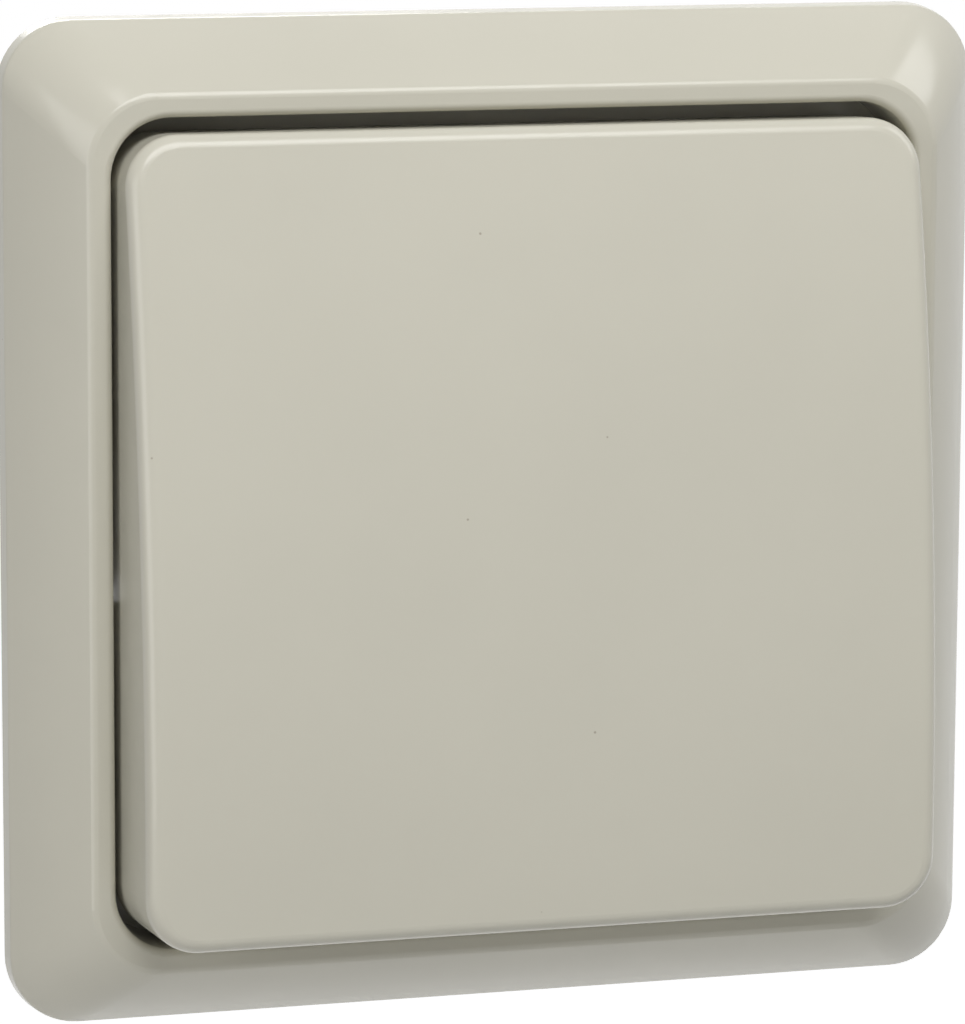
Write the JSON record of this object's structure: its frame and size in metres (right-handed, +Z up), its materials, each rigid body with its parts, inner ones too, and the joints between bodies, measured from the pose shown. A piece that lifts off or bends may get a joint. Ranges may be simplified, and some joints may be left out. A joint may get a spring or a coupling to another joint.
{
  "type": "pushbutton switch",
  "caption": "Flush-mounted pushbutton switch: a square bevelled cover frame, a tilted sprung rocker and a clawed insert with push-in terminals.",
  "frame": {"origin": "the middle of the cover frame on the wall face, which is the back of the support ring", "axes": "+X right as seen from the front, +Y into the wall, +Z up; the button faces -Y"},
  "size_m": [0.08, 0.043, 0.08],
  "materials": {
    "cream_plastic": "gloss",
    "white_moulding": "satin",
    "grey_moulding": "satin",
    "base_moulding": "satin",
    "lever_moulding": "satin",
    "zinc_plated_steel": "zinc plated",
    "brass": "bare",
    "silver_contact": "silver",
    "spring_steel": "bare"
  },
  "bodies": {
    "base": {"cover_frame": "cream_plastic", "support_ring": "zinc_plated_steel", "mechanism_cover": "white_moulding", "switch_base": "base_moulding", "assembly_screws": "zinc_plated_steel", "contact_bar_left": "brass", "contact_bar_right": "brass", "bar_contact_left": "silver_contact", "bar_contact_right": "silver_contact", "clamp_springs_left": "spring_steel", "clamp_springs_right": "spring_steel", "return_spring": "spring_steel"},
    "button": {"rocker": "cream_plastic", "rocker_cradle": "grey_moulding"},
    "contact_carrier": {"plunger": "grey_moulding", "contact_bridge": "brass", "bridge_contacts": "silver_contact", "contact_spring": "spring_steel"},
    "claw_left": {"claw_left": "zinc_plated_steel"},
    "claw_screw_left": {"claw_screw_left": "zinc_plated_steel"},
    "claw_nut_left": {"claw_nut_left": "zinc_plated_steel"},
    "release_lever_left": {"release_lever_left": "lever_moulding"},
    "claw_right": {"claw_right": "zinc_plated_steel"},
    "claw_screw_right": {"claw_screw_right": "zinc_plated_steel"},
    "claw_nut_right": {"claw_nut_right": "zinc_plated_steel"},
    "release_lever_right": {"release_lever_right": "lever_moulding"}
  },
  "joints": [
    {"name": "button_press", "type": "hinge", "parent": "base", "child": "button", "pos_m": [0, -0.0045, 0], "axis": [1, 0, 0], "range_deg": [0, 7.5], "stiffness_Nm_per_rad": 0.35, "springref_deg": -6.88},
    {"name": "plunger_travel", "type": "slide", "parent": "base", "child": "contact_carrier", "axis": [0, 1, 0], "range_m": [0, 0.00145], "deforming": ["return_spring"]},
    {"name": "claw_screw_left_turn", "type": "hinge", "parent": "base", "child": "claw_screw_left", "pos_m": [-0.0225, 0, 0], "axis": [0, 1, 0], "range_deg": [0, 3378.6]},
    {"name": "claw_nut_left_slide", "type": "slide", "parent": "base", "child": "claw_nut_left", "axis": [0, -1, 0], "range_m": [0, 0.00751]},
    {"name": "claw_left_spread", "type": "slide", "parent": "base", "child": "claw_left", "axis": [-0.4226, -0.9063, 0], "range_m": [0, 0.00828]},
    {"name": "release_lever_left_push", "type": "slide", "parent": "base", "child": "release_lever_left", "axis": [0, -1, 0], "range_m": [0, 0.0022], "stiffness_N_per_m": 300, "springref_m": -0.002, "deforming": ["clamp_springs_left"]},
    {"name": "claw_screw_right_turn", "type": "hinge", "parent": "base", "child": "claw_screw_right", "pos_m": [0.0225, 0, 0], "axis": [0, 1, 0], "range_deg": [0, 3378.6]},
    {"name": "claw_nut_right_slide", "type": "slide", "parent": "base", "child": "claw_nut_right", "axis": [0, -1, 0], "range_m": [0, 0.00751]},
    {"name": "claw_right_spread", "type": "slide", "parent": "base", "child": "claw_right", "axis": [0.4226, -0.9063, 0], "range_m": [0, 0.00828]},
    {"name": "release_lever_right_push", "type": "slide", "parent": "base", "child": "release_lever_right", "axis": [0, -1, 0], "range_m": [0, 0.0022], "stiffness_N_per_m": 300, "springref_m": -0.002, "deforming": ["clamp_springs_right"]}
  ],
  "couplings": [
    {"joint": "plunger_travel", "follows": "button_press", "m_per_rad": 0.010992},
    {"joint": "claw_nut_left_slide", "follows": "claw_left_spread", "ratio": 0.90631},
    {"joint": "claw_screw_left_turn", "follows": "claw_left_spread", "rad_per_m": 7118.1},
    {"joint": "claw_nut_right_slide", "follows": "claw_right_spread", "ratio": 0.90631},
    {"joint": "claw_screw_right_turn", "follows": "claw_right_spread", "rad_per_m": 7118.1}
  ]
}
